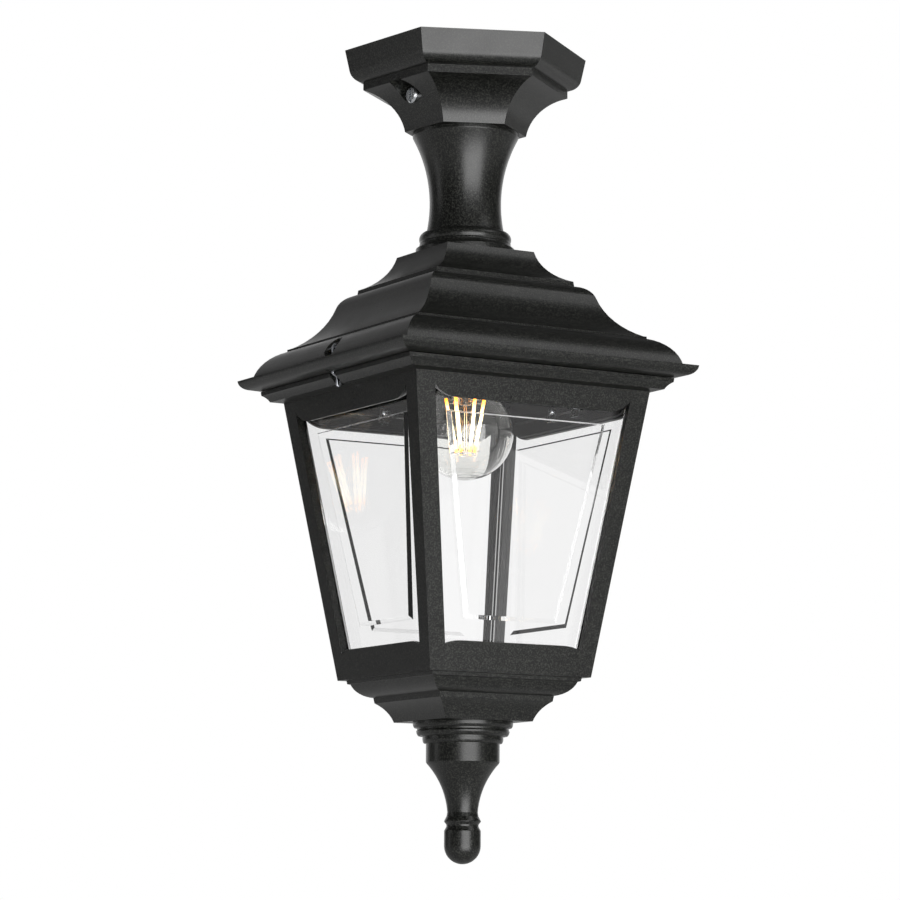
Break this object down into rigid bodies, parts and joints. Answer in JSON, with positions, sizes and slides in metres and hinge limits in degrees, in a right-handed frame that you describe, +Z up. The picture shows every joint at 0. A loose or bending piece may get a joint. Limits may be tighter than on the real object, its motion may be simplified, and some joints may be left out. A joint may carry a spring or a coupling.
{
  "type": "porch ceiling lantern",
  "caption": "Square tapered black metal lantern with bevelled glass panes, hung from a hexagonal ceiling canopy on a flared neck, with a hinged latched cage around a screw lamp.",
  "frame": {"origin": "centre of the flat ceiling face on top of the bracket and canopy", "axes": "+Z up out of the ceiling face, -Y to the front pane, -X to the latch side, +X to the hinge side"},
  "size_m": [0.21, 0.21, 0.5076],
  "materials": {
    "black_coat": "satin black powder coat with a fine grain, over cast aluminium",
    "zinc_steel": "bright zinc plating",
    "spring_steel": "drawn spring steel wire",
    "brass": "plain turned brass",
    "block_plastic": "moulded white plastic",
    "porcelain": "white glazed lampholder body",
    "live_sleeve": "brown wire insulation",
    "neutral_sleeve": "blue wire insulation",
    "earth_sleeve": "green and yellow wire insulation",
    "pane_glass": "clear bevelled glass",
    "bulb_glass": "clear lamp glass",
    "lamp_cap_metal": "plated screw cap",
    "cap_insulator": "black insulating glass",
    "filament": "warm glowing filament strip"
  },
  "bodies": {
    "fixture": {"ceiling_bracket": "zinc_steel", "earth_screw": "brass", "canopy": "black_coat", "canopy_screws": "zinc_steel", "terminal_block": "block_plastic", "terminal_tubes": "brass", "terminal_screw": "zinc_steel", "live_wire": "live_sleeve", "neutral_wire": "neutral_sleeve", "earth_wire": "earth_sleeve", "threaded_tube": "zinc_steel", "tube_nuts": "zinc_steel", "tube_washers": "zinc_steel", "neck": "black_coat", "roof": "black_coat", "lampholder_body": "porcelain", "lampholder_shell": "brass", "lampholder_contact": "brass", "hinge_pin": "zinc_steel", "latch_pin": "zinc_steel"},
    "cage": {"cage_ring": "black_coat", "ring_screws": "zinc_steel", "front_frame": "black_coat", "right_frame": "black_coat", "back_frame": "black_coat", "left_frame": "black_coat", "front_glass": "pane_glass", "right_glass": "pane_glass", "back_glass": "pane_glass", "left_glass": "pane_glass", "glass_clips": "zinc_steel", "glass_clip_screws": "zinc_steel", "base": "black_coat", "base_screws": "zinc_steel", "finial": "black_coat", "finial_stud": "zinc_steel", "finial_nut": "zinc_steel", "finial_washer": "zinc_steel"},
    "latch": {"latch_clip": "spring_steel"},
    "lamp": {"lamp_glass": "bulb_glass", "lamp_cap": "lamp_cap_metal", "lamp_insulator": "cap_insulator", "lamp_stem": "bulb_glass", "lamp_leads": "zinc_steel", "lamp_filaments": "filament"}
  },
  "joints": [
    {"name": "cage_hinge", "type": "hinge", "parent": "fixture", "child": "cage", "pos_m": [0.0975, 0, -0.214], "axis": [0, -1, 0], "range_deg": [0, 90]},
    {"name": "latch_swing", "type": "hinge", "parent": "fixture", "child": "latch", "pos_m": [-0.0921, 0, -0.195], "axis": [0, 1, 0], "range_deg": [0, 12], "stiffness_Nm_per_rad": 0.02},
    {"name": "lamp_release", "type": "slide", "parent": "fixture", "child": "lamp", "axis": [0, 0, -1], "range_m": [0, 0.03]}
  ]
}
